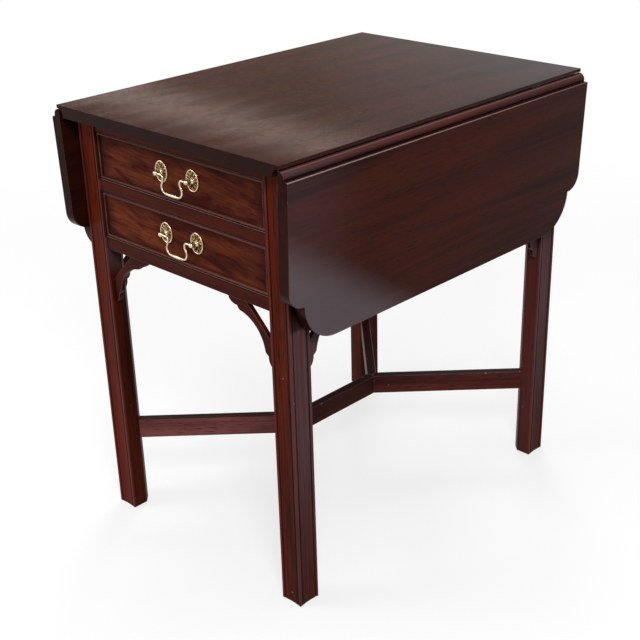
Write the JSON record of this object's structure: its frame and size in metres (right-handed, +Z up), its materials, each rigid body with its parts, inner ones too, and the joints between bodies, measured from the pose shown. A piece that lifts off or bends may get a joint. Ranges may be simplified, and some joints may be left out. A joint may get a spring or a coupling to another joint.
{
  "type": "drop-leaf side table",
  "caption": "Side table with hinged drop leaves on rule joints, beaded drawers with bail pulls, pierced corner brackets and a forked stretcher between square moulded legs.",
  "frame": {"origin": "on the floor under the middle of the table", "axes": "+X the table's right, -Y the drawer front, +Z up"},
  "size_m": [0.5116, 0.686, 0.711],
  "materials": {
    "mahogany": "dark red-brown satin lacquer",
    "mahogany_board": "dark red-brown satin lacquer",
    "drawer_veneer": "orange-brown figured veneer, satin lacquer",
    "bead_mahogany": "red-brown satin lacquer, worn on the edges",
    "drawer_lining": "plain, unfinished",
    "secondary_wood": "plain, unfinished",
    "brass": "worn polish",
    "hinge_steel": "dull, dark"
  },
  "bodies": {
    "frame": {"bracket_front_left": "mahogany", "bracket_front_right": "mahogany", "bracket_rear_left": "mahogany", "bracket_rear_right": "mahogany", "bracket_side_front_left": "mahogany", "bracket_side_front_right": "mahogany", "bracket_side_rear_left": "mahogany", "bracket_side_rear_right": "mahogany", "drawer_kickers": "secondary_wood", "drawer_runners": "secondary_wood", "drawer_stops": "secondary_wood", "fly_blocks": "secondary_wood", "fly_pins": "hinge_steel", "front_rail_bottom": "mahogany", "front_rail_middle": "mahogany", "front_rail_top": "mahogany", "hinge_pins": "hinge_steel", "hinge_plates_top": "hinge_steel", "hinge_screws_top": "hinge_steel", "leg_front_left": "mahogany", "leg_front_right": "mahogany", "leg_rear_left": "mahogany", "leg_rear_right": "mahogany", "rear_apron": "mahogany", "side_apron_left": "mahogany", "side_apron_right": "mahogany", "stretcher_centre": "mahogany", "stretcher_front_left": "mahogany", "stretcher_front_right": "mahogany", "stretcher_rear_left": "mahogany", "stretcher_rear_right": "mahogany", "top_board": "mahogany_board"},
    "upper_drawer": {"upper_drawer_back": "drawer_lining", "upper_drawer_bottom": "drawer_lining", "upper_drawer_cock_bead": "bead_mahogany", "upper_drawer_front": "drawer_veneer", "upper_drawer_pull_nuts": "brass", "upper_drawer_pull_posts": "brass", "upper_drawer_pull_roundels": "brass", "upper_drawer_side_left": "drawer_lining", "upper_drawer_side_right": "drawer_lining"},
    "lower_drawer": {"lower_drawer_back": "drawer_lining", "lower_drawer_bottom": "drawer_lining", "lower_drawer_cock_bead": "bead_mahogany", "lower_drawer_front": "drawer_veneer", "lower_drawer_pull_nuts": "brass", "lower_drawer_pull_posts": "brass", "lower_drawer_pull_roundels": "brass", "lower_drawer_side_left": "drawer_lining", "lower_drawer_side_right": "drawer_lining"},
    "upper_bail": {"upper_drawer_bail": "brass"},
    "lower_bail": {"lower_drawer_bail": "brass"},
    "left_leaf": {"leaf_hinge_plates_left": "hinge_steel", "leaf_hinge_screws_left": "hinge_steel", "leaf_left": "mahogany_board"},
    "right_leaf": {"leaf_hinge_plates_right": "hinge_steel", "leaf_hinge_screws_right": "hinge_steel", "leaf_right": "mahogany_board"},
    "left_fly": {"fly_support_left": "secondary_wood"},
    "right_fly": {"fly_support_right": "secondary_wood"}
  },
  "joints": [
    {"name": "upper_drawer_slide", "type": "slide", "parent": "frame", "child": "upper_drawer", "axis": [0, -1, 0], "range_m": [0, 0.38]},
    {"name": "upper_bail_swing", "type": "hinge", "parent": "upper_drawer", "child": "upper_bail", "pos_m": [0, -0.326, 0.6416], "axis": [-1, 0, 0], "range_deg": [-18, 190]},
    {"name": "lower_drawer_slide", "type": "slide", "parent": "frame", "child": "lower_drawer", "axis": [0, -1, 0], "range_m": [0, 0.38]},
    {"name": "lower_bail_swing", "type": "hinge", "parent": "lower_drawer", "child": "lower_bail", "pos_m": [0, -0.326, 0.5475], "axis": [-1, 0, 0], "range_deg": [-18, 190]},
    {"name": "right_leaf_hinge", "type": "hinge", "parent": "frame", "child": "right_leaf", "pos_m": [0.2389, 0, 0.694], "axis": [0, -1, 0], "range_deg": [0, 91.9]},
    {"name": "right_fly_hinge", "type": "hinge", "parent": "frame", "child": "right_fly", "pos_m": [0.2145, 0.075, 0.662], "axis": [0, 0, 1], "range_deg": [0, 4]},
    {"name": "left_leaf_hinge", "type": "hinge", "parent": "frame", "child": "left_leaf", "pos_m": [-0.2389, 0, 0.694], "axis": [0, 1, 0], "range_deg": [0, 91.9]},
    {"name": "left_fly_hinge", "type": "hinge", "parent": "frame", "child": "left_fly", "pos_m": [-0.2145, 0.075, 0.662], "axis": [0, 0, -1], "range_deg": [0, 4]}
  ]
}
